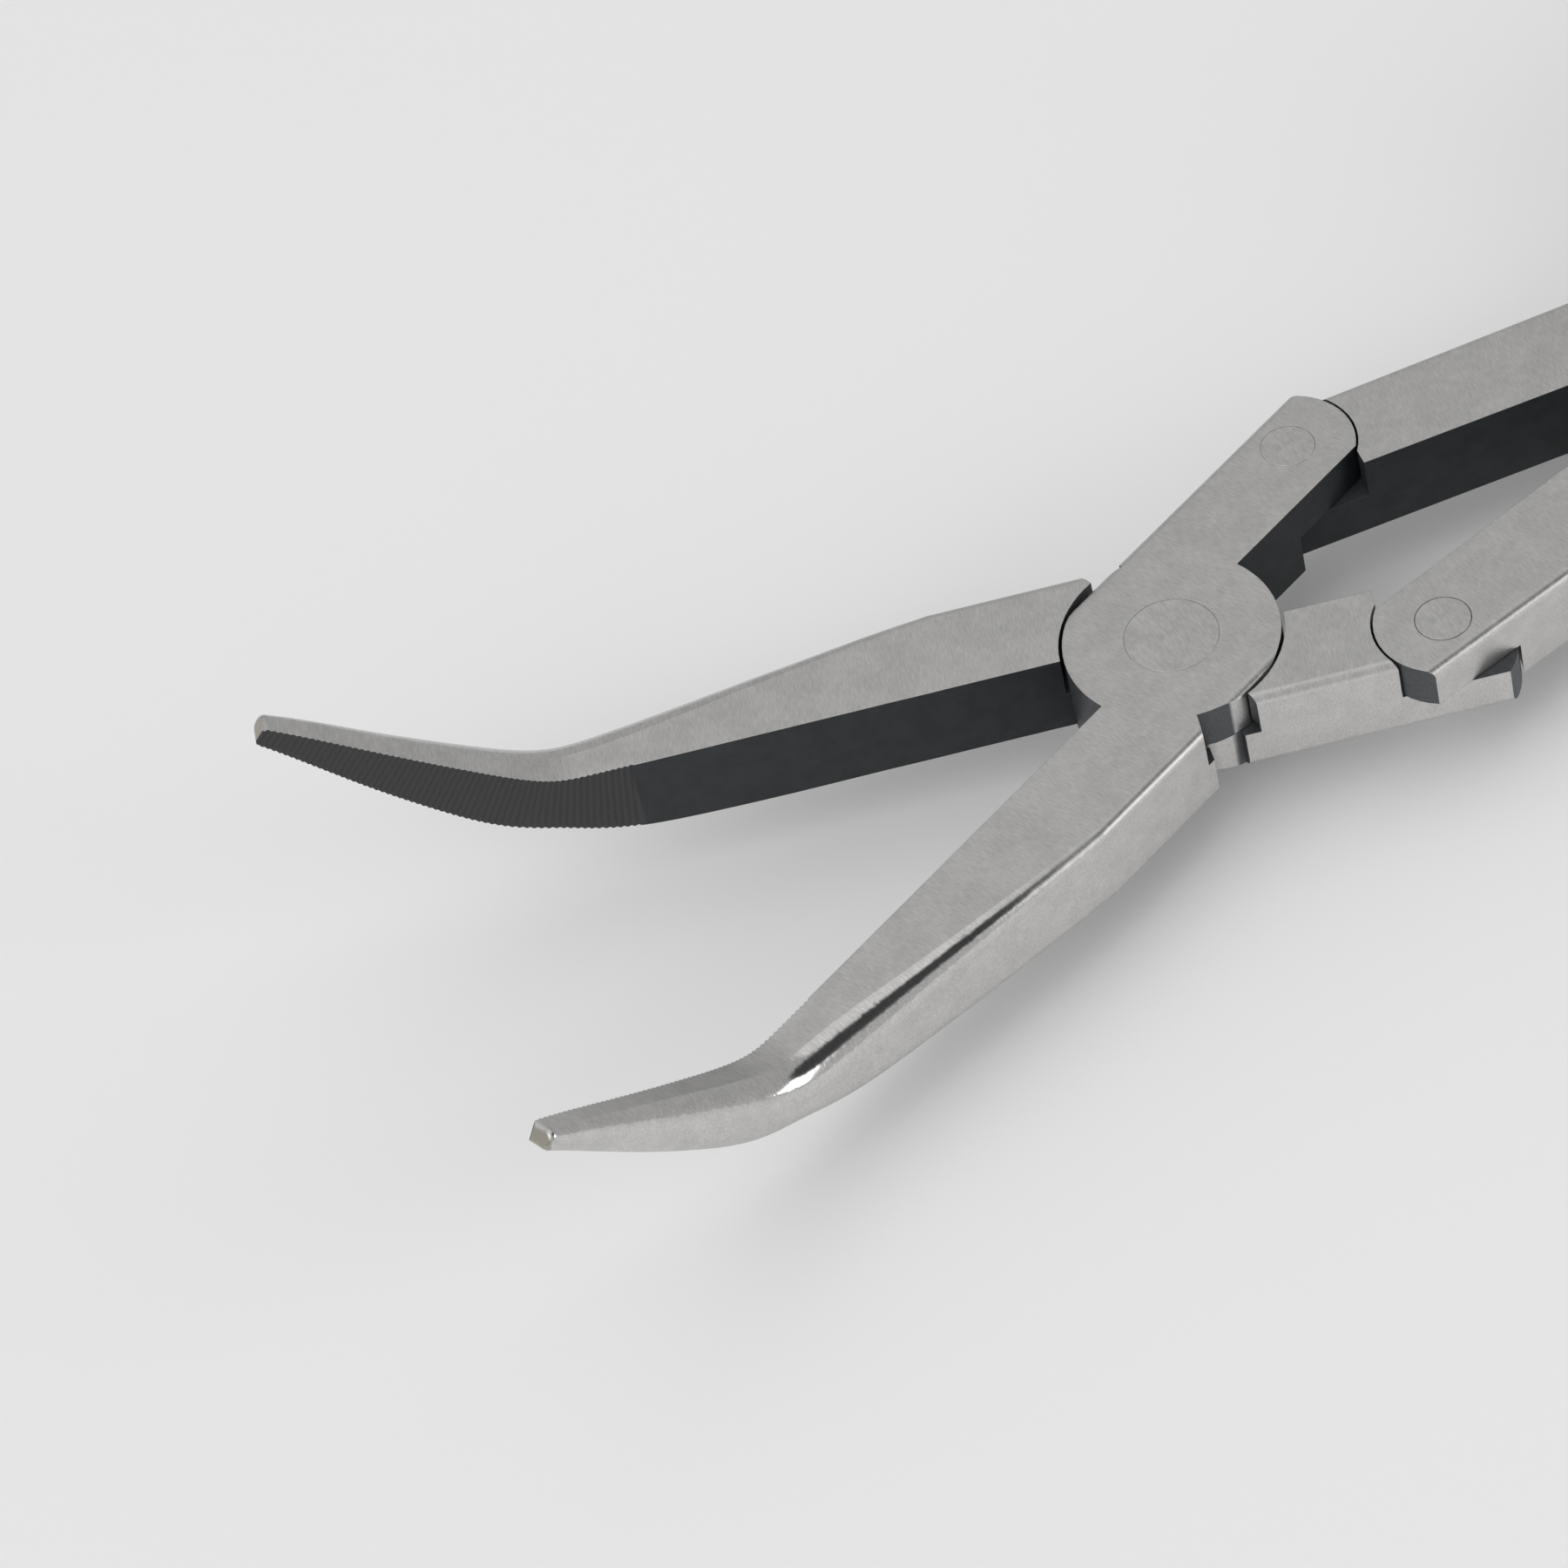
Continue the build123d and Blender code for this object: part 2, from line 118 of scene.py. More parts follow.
# %% shader helper
class Recipe:
    """A material under construction."""

    def __init__(self, name):
        self.material = bpy.data.materials.new(name)
        self.material.use_nodes = True
        self.tree = self.material.node_tree
        self.shader = self.tree.nodes["Principled BSDF"]

    def node(self, kind, inputs=(), **settings):
        """Adds a node, sets it up, and links or sets its inputs by number."""
        node = self.tree.nodes.new(kind)
        for name, value in settings.items():
            setattr(node, name, value)
        for place, value in dict(inputs).items():
            self.feed(node.inputs[place], value)
        return node

    def feed(self, socket, value):
        if isinstance(value, bpy.types.NodeSocket):
            self.tree.links.new(value, socket)
        else:
            socket.default_value = value

    def set(self, name, value):
        self.feed(self.shader.inputs[name], value)

    def math(self, operation, a, b=0.0, c=0.0, clamp=False):
        node = self.node("ShaderNodeMath", {0: a, 1: b, 2: c}, operation=operation, use_clamp=clamp)
        return node.outputs[0]

    def ramp(self, value, low, high, to_low=0.0, to_high=1.0):
        """Straight from to_low at low to to_high at high, and flat beyond both."""
        inputs = {0: value, 1: low, 2: high, 3: to_low, 4: to_high}
        return self.node("ShaderNodeMapRange", inputs, interpolation_type="SMOOTHSTEP").outputs[0]

    def both(self, a, b):
        return self.math("MULTIPLY", a, b)

    def either(self, a, b):
        return self.math("MAXIMUM", a, b)

    def mix(self, share, a, b):
        """From number a to number b by share."""
        return self.node("ShaderNodeMix", {0: share, 2: a, 3: b}, data_type="FLOAT").outputs[0]

    def mix_colour(self, share, a, b):
        node = self.node("ShaderNodeMix", {0: share, 6: a, 7: b}, data_type="RGBA")
        return node.outputs[2]

    def tint(self, colour, factor):
        """A colour made lighter or darker by a number round 1."""
        return self.node("ShaderNodeVectorMath", {0: colour[:3], 3: factor}, operation="SCALE").outputs[0]

    def stretch(self, vector, scale):
        return self.node("ShaderNodeVectorMath", {0: vector, 1: scale}, operation="MULTIPLY").outputs[0]

    def noise(self, vector, scale=1.0, detail=2.0, roughness=0.5):
        inputs = {"Vector": vector, "Scale": scale, "Detail": detail, "Roughness": roughness}
        return self.node("ShaderNodeTexNoise", inputs).outputs["Fac"]

    def bump(self, height, distance, strength=1.0, normal=None):
        inputs = {"Height": height, "Distance": distance, "Strength": strength}
        if normal is not None:
            inputs["Normal"] = normal
        return self.node("ShaderNodeBump", inputs).outputs[0]


def grey(value, warm=0.0):
    """A grey as a colour, a little warmer or, below 0, cooler."""
    return (value * (1 + warm), value, value * (1 - warm), 1.0)


print("shader helper ready")

# %% [markdown]
# ## Each forging's own frame
# The jaws and levers were ground while closed, as one straight bar, so their finish follows the closed
# shape: flats at top and bottom, and straight outer sides. A mask painted by hand would do, but a mask
# worked out from position and normal is exact and sharp at any size. For that, a point on a piece is
# first turned back from the half open rest position to the closed one, in millimetres.

# %% closed frames
THICKNESS = 8.0
JAW_OPEN = radians(19.25)
LEVER_LENGTH = 41.0
link_rest = Vector(joints["right_link_pivot"]["pos_m"]) / MM
link_rest.z = 0.0
link_closed = Matrix.Rotation(-JAW_OPEN, 3, "Z") @ link_rest
LEVER_OPEN = asin(link_rest.y / LEVER_LENGTH) - asin(link_closed.y / LEVER_LENGTH)
CROSSING_X = link_closed.x + sqrt(LEVER_LENGTH**2 - link_closed.y**2)


def turned_back(side):
    """From the rest position to the closed one for a jaw; side is 1 for left and -1 for right."""
    return Matrix.Rotation(-side * JAW_OPEN, 4, "Z")


def lever_turned_back(side):
    flip = Vector((1, side, 1))
    back = Matrix.Rotation(side * LEVER_OPEN, 4, "Z")
    return Matrix.Translation(link_closed * flip) @ back @ Matrix.Translation(-(link_rest * flip))


def closed_frame(recipe, matrix, side):
    """Position in mm and normal in the closed frame, with Y flipped for the right side's pieces."""
    coordinates = recipe.node("ShaderNodeTexCoord")
    angle = matrix.to_euler().z
    flip = (1.0, side, 1.0)
    place = {0: coordinates.outputs["Object"], 1: matrix.translation, 2: (0, 0, angle), 3: (1000,) * 3}
    point = recipe.node("ShaderNodeMapping", place, vector_type="POINT").outputs[0]
    turn = {0: coordinates.outputs["Normal"], 2: (0, 0, angle)}
    normal = recipe.node("ShaderNodeMapping", turn, vector_type="VECTOR").outputs[0]
    return recipe.stretch(point, flip), recipe.stretch(normal, flip)


print("lever opens", round(degrees(LEVER_OPEN), 2), "degrees, crossing closed at", round(CROSSING_X, 2))

# %% [markdown]
# ## Steel
# Three finishes meet on one forging. The flats and outer sides are ground bright on a belt, which leaves
# short fine strokes across the piece. The faces that no belt reaches keep the blue-black oxide of the
# heat treatment. The milled pockets round the joints are dark grey. One shader could be mixed from
# three, but a metal's colour, roughness and metalness can be mixed as numbers, which is quicker and
# carries over to other programs.

# %% steel
GROUND = grey(0.47, 0.012)
OXIDE = (0.010, 0.0135, 0.016, 1.0)
MILLED = (0.085, 0.09, 0.095, 1.0)
TOOTHED = (0.030, 0.030, 0.031, 1.0)
TIP_STEEL = (0.40, 0.385, 0.33, 1.0)
OUTER_SIDE = 8.0       # beyond this from the centre line a face that looks outward is ground
NOSE_ROOT = -19.0
TEETH_START = -45.4
TIP_START = -72.6


def grind_marks(recipe, point):
    """Short strokes across the piece and soft cloudy patches, each round 0.5."""
    strokes = recipe.noise(recipe.stretch(point, (7.5, 1.1, 4.0)), 1.0, 3.0, 0.65)
    clouds = recipe.noise(point, 0.45, 3.0, 0.6)
    return strokes, clouds


def steel_shader(recipe, ground, black, strokes, clouds, buffed=0.0, facing_up=1.0):
    """Mixes the three finishes: ground over black over milled; ground faces that look sideways get painted
    light.
    """
    # Painted light: ground faces that do not look up are painted up to 1.28 times lighter, standing in for
    # the bright floor that the sides reflect.
    painted_side_light = recipe.ramp(facing_up, 0.3, 0.8, 1.28, 1.0)
    shade = recipe.both(recipe.ramp(strokes, 0.25, 0.75, 0.87, 1.11), painted_side_light)
    patch = recipe.ramp(clouds, 0.3, 0.7, 0.95, 1.05)
    bright = recipe.tint(GROUND, recipe.both(shade, patch))
    dull = recipe.tint(OXIDE, recipe.ramp(clouds, 0.3, 0.7, 0.75, 1.35))
    milled = recipe.tint(MILLED, recipe.ramp(strokes, 0.3, 0.7, 0.85, 1.15))
    dark = recipe.mix_colour(black, milled, dull)
    rough = recipe.mix(buffed, recipe.ramp(strokes, 0.25, 0.75, 0.33, 0.41), 0.13)
    recipe.set("Roughness", recipe.mix(ground, recipe.mix(black, 0.42, 0.5), rough))
    recipe.set("Metallic", recipe.mix(ground, recipe.mix(black, 0.6, 0.0), 1.0))
    height = recipe.both(strokes, recipe.mix(ground, 0.4, recipe.mix(buffed, 1.0, 0.03)))
    rounded = recipe.node("ShaderNodeBevel", {"Radius": 0.00012}, samples=4).outputs[0]
    recipe.set("Normal", recipe.bump(height, 0.00002, 0.6, rounded))
    return bright, dark


def masks(recipe, point, normal):
    """Numbers that the forgings' masks are made from."""
    at = recipe.node("ShaderNodeSeparateXYZ", {0: point}).outputs
    facing = recipe.node("ShaderNodeSeparateXYZ", {0: normal}).outputs
    sideways = recipe.math("ABSOLUTE", at[1])
    outward = recipe.both(facing[1], recipe.math("SIGN", at[1]))
    from_middle = recipe.math("ABSOLUTE", recipe.math("SUBTRACT", at[2], THICKNESS / 2))
    level = recipe.ramp(recipe.math("ABSOLUTE", facing[2]), 0.90, 0.93)
    flats = recipe.both(level, recipe.ramp(from_middle, THICKNESS / 2 - 0.07, THICKNESS / 2 - 0.05))
    beyond = recipe.ramp(sideways, OUTER_SIDE - 0.02, OUTER_SIDE + 0.02)
    looks_out = recipe.ramp(outward, 0.22, 0.27)
    not_endwise = recipe.ramp(recipe.math("ABSOLUTE", facing[0]), 0.3, 0.34, 1.0, 0.0)
    sides = recipe.both(beyond, recipe.both(looks_out, not_endwise))
    return at, facing, sideways, outward, recipe.either(flats, sides)


def jaw_steel(name, side):
    recipe = Recipe(name)
    point, normal = closed_frame(recipe, turned_back(side), side)
    at, facing, sideways, outward, ground = masks(recipe, point, normal)
    nose = recipe.ramp(at[0], NOSE_ROOT - 0.02, NOSE_ROOT + 0.02, 1.0, 0.0)
    gripping = recipe.ramp(facing[1], 0.42, 0.5)
    inner = recipe.both(recipe.ramp(outward, -0.7, -0.6, 1.0, 0.0), recipe.ramp(sideways, 1.4, 1.5, 1.0, 0.0))
    ground = recipe.mix(nose, ground, recipe.math("SUBTRACT", 1.0, gripping))
    black = recipe.mix(nose, inner, gripping)
    away = recipe.math("MULTIPLY", facing[1], -1.0)
    tilted = recipe.both(recipe.ramp(away, 0.02, 0.18), recipe.ramp(away, 0.93, 0.985, 1.0, 0.0))
    along = recipe.ramp(at[0], -34.0, -21.0, 1.0, 0.0)
    buffed = recipe.both(recipe.both(tilted, along), recipe.ramp(facing[2], 0.0, 0.15))
    strokes, clouds = grind_marks(recipe, point)
    facing_up = recipe.math("ABSOLUTE", facing[2])
    bright, dark = steel_shader(recipe, ground, black, strokes, clouds, buffed, facing_up)
    toothed = recipe.ramp(at[0], TEETH_START - 0.05, TEETH_START + 0.05, 1.0, 0.0)
    dark = recipe.mix_colour(recipe.both(toothed, black), dark, TOOTHED)
    at_tip = recipe.ramp(at[0], TIP_START, TIP_START + 0.4, 1.0, 0.0)
    tip_face = recipe.both(at_tip, recipe.ramp(facing[0], -0.7, -0.5, 1.0, 0.0))
    bright = recipe.mix_colour(tip_face, bright, TIP_STEEL)
    recipe.set("Base Color", recipe.mix_colour(ground, dark, bright))
    return recipe.material


def lever_steel(name, side):
    recipe = Recipe(name)
    point, normal = closed_frame(recipe, lever_turned_back(side), side)
    at, facing, sideways, outward, ground = masks(recipe, point, normal)
    inner = recipe.ramp(outward, -0.7, -0.6, 1.0, 0.0)
    strokes, clouds = grind_marks(recipe, point)
    facing_up = recipe.math("ABSOLUTE", facing[2])
    bright, dark = steel_shader(recipe, ground, inner, strokes, clouds, 0.0, facing_up)
    recipe.set("Base Color", recipe.mix_colour(ground, dark, bright))
    return recipe.material


def wear(node_name, material):
    """Gives a CAD node its finish."""
    node = nodes[node_name]
    node.data.materials.clear()
    node.data.materials.append(material)
    return node


for side_name, side in (("left", 1), ("right", -1)):
    wear(f"{side_name}_jaw", jaw_steel(f"{side_name}_jaw_steel", side))
    wear(f"{side_name}_lever", lever_steel(f"{side_name}_lever_steel", side))
print("steel on", [name for name in nodes if name.endswith(("jaw", "lever"))])

# %% [markdown]
# ## Rivets
# A rivet is hammered into a countersink and ground off with the joint, so all that shows is a hair line
# where the two steels meet, stronger in places. Its outline could be a groove in the mesh, but at a tenth
# of a millimetre a ring drawn in the shader by distance from the rivet's axis shows the same.

# %% rivets
RING_WIDTH = 0.11


def rivet_steel(name, centre, head_radius):
    recipe = Recipe(name)
    coordinates = recipe.node("ShaderNodeTexCoord")
    place = {0: coordinates.outputs["Object"], 1: (-centre.x, -centre.y, 0), 3: (1000,) * 3}
    point = recipe.node("ShaderNodeMapping", place, vector_type="POINT").outputs[0]
    flat_point = recipe.stretch(point, (1, 1, 0))
    reach = recipe.node("ShaderNodeVectorMath", {0: flat_point}, operation="LENGTH").outputs["Value"]
    strokes = recipe.noise(recipe.stretch(point, (3.6, 1.1, 3.0)), 1.0, 3.0, 0.65)
    clouds = recipe.noise(point, 0.5, 2.0)
    ring = recipe.ramp(reach, head_radius - RING_WIDTH, head_radius - RING_WIDTH / 3)
    faint = recipe.ramp(recipe.noise(point, 0.35, 1.0), 0.5, 0.65, 0.08, 0.6)
    line = recipe.both(ring, faint)
    bright, dark = steel_shader(recipe, 1.0, 0.0, strokes, clouds)
    recipe.set("Base Color", recipe.mix_colour(line, bright, grey(0.3)))
    return recipe.material


for name in [n for n in nodes if n.endswith("rivet")]:
    low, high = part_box(name)
    centre = (Vector(low) + Vector(high)) / 2 / MM
    head_radius = (high[0] - low[0]) / 2 / MM
    wear(name, rivet_steel(f"{name}_steel", centre, head_radius))
    print(name, "head radius", round(head_radius, 2), "mm")

# %% [markdown]
# ## Soft grips
# Each grip is a soft charcoal cover moulded over a hard core, with an orange-red pad let into the palm
# side and the finger side. They could be sculpted from a tube with modifiers. A mould maker would instead
# draw the grip as a line with a cross-section at a few stations, and cut the details into that skin, so
# that is done here: one function gives the section anywhere along the line, and everything that is
# moulded in (the pads' beds, the groove round them, the bands) is only a depth below it.

# %% the grip's line and section
# Along the left lever when closed, in mm: x, y, width and height of the rounded section.
GRIP_STATIONS = [
    (82.0, -9.3, 16.0, 12.6),
    (86.0, -10.9, 21.0, 16.5),
    (92.0, -13.0, 24.0, 18.5),
    (100.0, -15.2, 21.0, 17.3),
    (112.0, -17.8, 19.0, 16.6),
    (135.0, -21.0, 20.5, 17.4),
    (160.0, -22.6, 21.5, 18.0),
    (185.0, -22.8, 20.5, 17.4),
    (210.0, -21.4, 19.4, 16.8),
    (235.0, -18.6, 20.0, 17.0),
    (252.0, -16.2, 20.0, 16.6),
    (260.5, -14.9, 13.0, 10.5),
]
CORNER_SHARE = 0.42    # corner radius of the section, as a share of its smaller side
GRIP_START = GRIP_STATIONS[0][0]
GRIP_END = GRIP_STATIONS[-1][0]


def slope(i):
    """How fast y, width and height change at station i, for each mm of x."""
    before = GRIP_STATIONS[max(i - 1, 0)]
    after = GRIP_STATIONS[min(i + 1, len(GRIP_STATIONS) - 1)]
    return [(b - a) / (after[0] - before[0]) for a, b in zip(before[1:], after[1:])]


def grip_station(x):
    """y, width and height of the grip at x, on a smooth curve through the stations."""
    i = 0
    while i < len(GRIP_STATIONS) - 2 and x > GRIP_STATIONS[i + 1][0]:
        i += 1
    here, there = GRIP_STATIONS[i], GRIP_STATIONS[i + 1]
    step = there[0] - here[0]
    t = (x - here[0]) / step
    values = []
    for a, b, slope_a, slope_b in zip(here[1:], there[1:], slope(i), slope(i + 1)):
        pull = (1 - t) * slope_a * step - t * slope_b * step
        rise = b - a
        values.append(a + t * rise + t * (1 - t) * (pull - rise * (1 - 2 * t)))
    return values


def grip_axes(x):
    """Centre of the section at x, and the direction across the grip there."""
    y = grip_station(x)[0]
    ahead = grip_station(min(x + 0.5, GRIP_END))[0] - grip_station(max(x - 0.5, GRIP_START))[0]
    span = min(x + 0.5, GRIP_END) - max(x - 0.5, GRIP_START)
    return Vector((x, y, THICKNESS / 2)), Vector((-ahead / span, 1, 0)).normalized()


BUTT_START = 250.0
BUTT_ROUNDING = 0.86   # 1 would end the butt in a full ellipse


def section_reach(x, angle):
    """From the grip's line out to its surface, in a direction across the section; the butt is domed."""
    past = max(x - BUTT_START, 0.0) / (GRIP_END - BUTT_START)
    return straight_reach(min(x, BUTT_START), angle) * sqrt(1 - BUTT_ROUNDING * past**2)


def straight_reach(x, angle):
    """The same without the dome."""
    _, width, height = grip_station(x)
    corner = CORNER_SHARE * min(width, height)
    c, s = abs(cos(angle)), abs(sin(angle))
    flat_y, flat_z = width / 2 - corner, height / 2 - corner
    if width / 2 * s <= flat_z * c:
        return width / 2 / c
    if height / 2 * c <= flat_y * s:
        return height / 2 / s
    return c * flat_y + s * flat_z + sqrt(corner**2 - (c * flat_z - s * flat_y) ** 2)


print("grip is", round(GRIP_END - GRIP_START, 1), "mm long")

# %% [markdown]
# ## What is moulded into the cover
# A pad's bed is a pill: a straight stretch with round ends. The distance to a pill is short to work out,
# and it says at once whether a point is in the bed, in the groove round it, or outside.

# %% beds, grooves and bands
PALM_PAD = dict(x=148.0, length=78.0, height=8.0, side=-1)
FINGER_PAD = dict(x=150.0, length=58.0, height=7.0, side=1)
BED_DEPTH = 1.5
GROOVE_DEPTH = 0.75
GROOVE_WIDTH = 1.3
BAND_DEPTH = 0.5
BAND_WIDTH = 1.0
BANDS = [97.5, 100.5, 103.5, 226.0, 230.0, 234.0, 238.0, 242.0]


def soft_step(value, low, high):
    """0 below low, 1 above high and a smooth rise between."""
    t = min(max((value - low) / (high - low), 0.0), 1.0)
    return t * t * (3 - 2 * t)


def beyond_pill(pad, x, z):
    """Distance outside the pad's outline, seen from the side; below 0 inside it."""
    radius = pad["height"] / 2
    past_straight = max(abs(x - pad["x"]) - (pad["length"] / 2 - radius), 0.0)
    return sqrt(past_straight**2 + z**2) - radius


def moulded_depth(x, z, side):
    """How far the cover's skin lies below the plain grip shape; z is from the middle of the lap."""
    depth = 0.0
    for pad in (PALM_PAD, FINGER_PAD):
        if pad["side"] == side:
            out = beyond_pill(pad, x, z)
            depth = BED_DEPTH * (1 - soft_step(out, -0.9, -0.1))
            depth = max(depth, GROOVE_DEPTH * (1 - soft_step(out, GROOVE_WIDTH * 0.4, GROOVE_WIDTH)))
    nearest = min(abs(x - band) for band in BANDS)
    return depth + BAND_DEPTH * (1 - soft_step(nearest, BAND_WIDTH * 0.2, BAND_WIDTH))


print("palm pad", PALM_PAD, "finger pad", FINGER_PAD)

# %% [markdown]
# ## Cover mesh
# The skin is a row of rings. It starts inside, at the end of the hard core, runs forward along the core,
# turns round the front lip and comes back along the outside to the butt, so the cover is one closed wall
# of its real thickness.

# %% cover
AROUND = 112
RING_STEP = 0.72
COVER_WALL = 2.6
CORE_END = 252.0
LIP_WALL = 0.8
SKIN_START = 83.0      # the moulded detail runs from here
SKIN_END = 259.6       # to here


def ring_rows():
    """x and depth below the plain shape for each ring, and whether the ring takes the moulded detail."""
    rows = [(CORE_END - i * (CORE_END - 88.0) / 20, COVER_WALL, False) for i in range(21)]
    rows += [(86.0, 2.2, False), (84.0, 1.4, False), (82.3, LIP_WALL, False)]
    rows += [(82.0, LIP_WALL - 0.15, False), (82.0, 0.35, False), (82.12, 0.12, False), (82.4, 0.0, False)]
    count = round((SKIN_END - SKIN_START) / RING_STEP)
    step = (SKIN_END - SKIN_START) / count
    rows += [(SKIN_START + i * step, 0.0, True) for i in range(count + 1)]
    rows += [(260.0, 0.12, False), (260.35, 0.4, False), (GRIP_END, 0.9, False)]
    return rows


def skin_point(x, angle, depth):
    centre, across = grip_axes(x)
    reach = section_reach(x, angle) - depth
    return centre + across * (reach * cos(angle)) + Vector((0, 0, reach * sin(angle)))


def cover_mesh():
    points, faces = [], []
    angles = [2 * pi * j / AROUND for j in range(AROUND)]
    rows = ring_rows()
    for x, depth, moulded in rows:
        for angle in angles:
            extra = 0.0
            if moulded:
                z = section_reach(x, angle) * sin(angle)
                extra = moulded_depth(x, z, 1 if cos(angle) > 0 else -1)
            points.append(skin_point(x, angle, depth + extra))
    for i in range(len(rows) - 1):
        for j in range(AROUND):
            k = (j + 1) % AROUND
            faces.append((i * AROUND + j, i * AROUND + k, (i + 1) * AROUND + k, (i + 1) * AROUND + j))
    last = (len(rows) - 1) * AROUND
    for shrink in (0.55, 0.2):
        start = len(points)
        centre = Vector((GRIP_END, grip_station(GRIP_END)[0], THICKNESS / 2))
        points += [centre + (points[last + j] - centre) * shrink for j in range(AROUND)]
        for j in range(AROUND):
            k = (j + 1) % AROUND
            faces.append((last + j, last + k, start + k, start + j))
        last = start
    faces.append(tuple(last + j for j in range(AROUND)))
    faces.append(tuple(reversed(range(AROUND))))
    return points, faces


cover_points, cover_faces = cover_mesh()
print("cover has", len(cover_points), "points")

# %% [markdown]
# ## Pads
# A pad is a pill that fills its bed, crowned a little, with cross ribs for the fingers. Its rows stand
# closer in the round ends, where the outline turns.

# %% pads
RIB_PITCH = 4.0
RIB_HEIGHT = 0.75
PAD_SINK = 0.5         # rim of the pad below the cover's surface
PAD_ROOT = 1.9         # underside of the pad below the cover's surface
ACROSS = 18
END_ROWS = 10


def pad_rows(pad):
    """Distance along the pad from its middle and its half height there, for each row."""
    radius = pad["height"] / 2
    straight = pad["length"] / 2 - radius
    count = round(straight * 2 / 0.5)
    rows = [(-straight + i * 2 * straight / count, radius) for i in range(count + 1)]
    turns = [(i + 1) * pi / 2 / END_ROWS for i in range(END_ROWS)]
    ends = [(straight + radius * sin(turn), radius * cos(turn)) for turn in turns]
    return [(-a, half) for a, half in reversed(ends)] + rows + ends


def pad_depth(pad, along, z):
    """Top of the pad below the cover's surface; ribs rise above it and fade towards the rim."""
    inward = -beyond_pill(pad, pad["x"] + along, z)
    rim = 1 - soft_step(inward, 0.0, 0.7)
    rib = 0.5 + 0.5 * cos(2 * pi * along / RIB_PITCH)
    ribbed = soft_step(inward, 0.5, 1.3) * RIB_HEIGHT * soft_step(rib, 0.25, 0.8)
    return PAD_SINK + 0.6 * rim - ribbed


def side_point(x, z, side, depth):
    """A point at height z on one side of the grip, some depth below its surface."""
    _, width, height = grip_station(x)
    corner = CORNER_SHARE * min(width, height)
    past_flat = max(abs(z) - (height / 2 - corner), 0.0)
    reach = width / 2 - corner + sqrt(corner**2 - past_flat**2) - depth
    centre, across = grip_axes(x)
    return centre + across * (side * reach) + Vector((0, 0, z))


def pad_mesh(pad):
    rows = pad_rows(pad)
    points, faces = [], []
    columns = ACROSS + 1
    for top in (True, False):
        for along, half in rows:
            for j in range(columns):
                z = -half * cos(pi * j / ACROSS)
                depth = pad_depth(pad, along, z) if top else PAD_ROOT
                points.append(side_point(pad["x"] + along, z, pad["side"], depth))
    under = len(rows) * columns
    for i in range(len(rows) - 1):
        for j in range(ACROSS):
            a, b = i * columns + j, (i + 1) * columns + j
            faces.append((a, b, b + 1, a + 1))
            faces.append((under + a, under + a + 1, under + b + 1, under + b))
        for j in (0, ACROSS):
            a, b = i * columns + j, (i + 1) * columns + j
            faces.append((a, under + a, under + b, b))
    return points, faces


def grip_piece(name, points, faces, place, body, node, slot, material):
    """Makes a grip piece, in the closed left frame, and puts it on its lever."""
    mesh = bpy.data.meshes.new(name)
    mesh.from_pydata([(place @ point) * MM for point in points], [], faces)
    shape = bmesh.new()
    shape.from_mesh(mesh)
    bmesh.ops.remove_doubles(shape, verts=shape.verts, dist=0.00001)
    bmesh.ops.recalc_face_normals(shape, faces=shape.faces)
    for face in shape.faces:
        face.smooth = True
    shape.to_mesh(mesh)
    shape.free()
    mesh.materials.append(material)
    piece = bpy.data.objects.new(name, mesh)
    bpy.context.scene.collection.objects.link(piece)
    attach(piece, body)
    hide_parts(node)
    return piece


print("pads have", RIB_PITCH, "mm from rib to rib")

# %% [markdown]
# ## Grip finishes
# Soft covers are moulded in a blasted tool, which leaves a fine pebble that scatters light evenly. It is
# far too fine to model, so it is a bump, with slow changes of shade where hands have polished it. The pads
# are softer still and brighter. The core is hard plastic, smoother than both.

# %% grip finishes
def grip_finish(name, colour, pebble, rough, depth):
    """Moulded soft or hard plastic: pebble is its grain in points for each mm."""
    recipe = Recipe(name)
    coordinates = recipe.node("ShaderNodeTexCoord")
    place = {0: coordinates.outputs["Object"], 3: (1000,) * 3}
    point = recipe.node("ShaderNodeMapping", place, vector_type="POINT").outputs[0]
    grain = recipe.noise(point, pebble, 2.0, 0.6)
    clouds = recipe.noise(point, 0.09, 3.0, 0.55)
    shade = recipe.both(recipe.ramp(grain, 0.3, 0.7, 0.86, 1.12), recipe.ramp(clouds, 0.3, 0.7, 0.88, 1.12))
    recipe.set("Base Color", recipe.tint(colour, shade))
    recipe.set("Roughness", recipe.ramp(clouds, 0.3, 0.7, rough - 0.06, rough + 0.06))
    recipe.set("Specular IOR Level", 0.4)
    recipe.set("Normal", recipe.bump(grain, depth))
    return recipe.material


cover_rubber = grip_finish("cover_rubber", (0.030, 0.032, 0.035, 1), 2.2, 0.62, 0.00012)
inlay_rubber = grip_finish("inlay_rubber", (0.50, 0.095, 0.022, 1), 2.8, 0.55, 0.00006)
core_plastic = grip_finish("core_plastic", (0.045, 0.048, 0.052, 1), 3.5, 0.42, 0.00003)
HALF_TURN = Matrix.Translation((0, 0, THICKNESS)) @ Matrix.Rotation(pi, 4, "X")
for side_name, side in (("left", 1), ("right", -1)):
    place = lever_turned_back(side).inverted() @ (Matrix() if side > 0 else HALF_TURN)
    body = f"{side_name}_lever"
    cover_name = f"{side_name}_grip_cover"
    grip_piece(f"{cover_name}_skin", cover_points, cover_faces, place, body, cover_name,
               "cover_rubber", cover_rubber)
    for pad_name, pad in (("palm", PALM_PAD), ("finger", FINGER_PAD)):
        node_name = f"{side_name}_{pad_name}_inlay"
        grip_piece(f"{node_name}_pad", *pad_mesh(pad), place, body, node_name, "inlay_rubber", inlay_rubber)
    wear(f"{side_name}_grip_core", core_plastic)

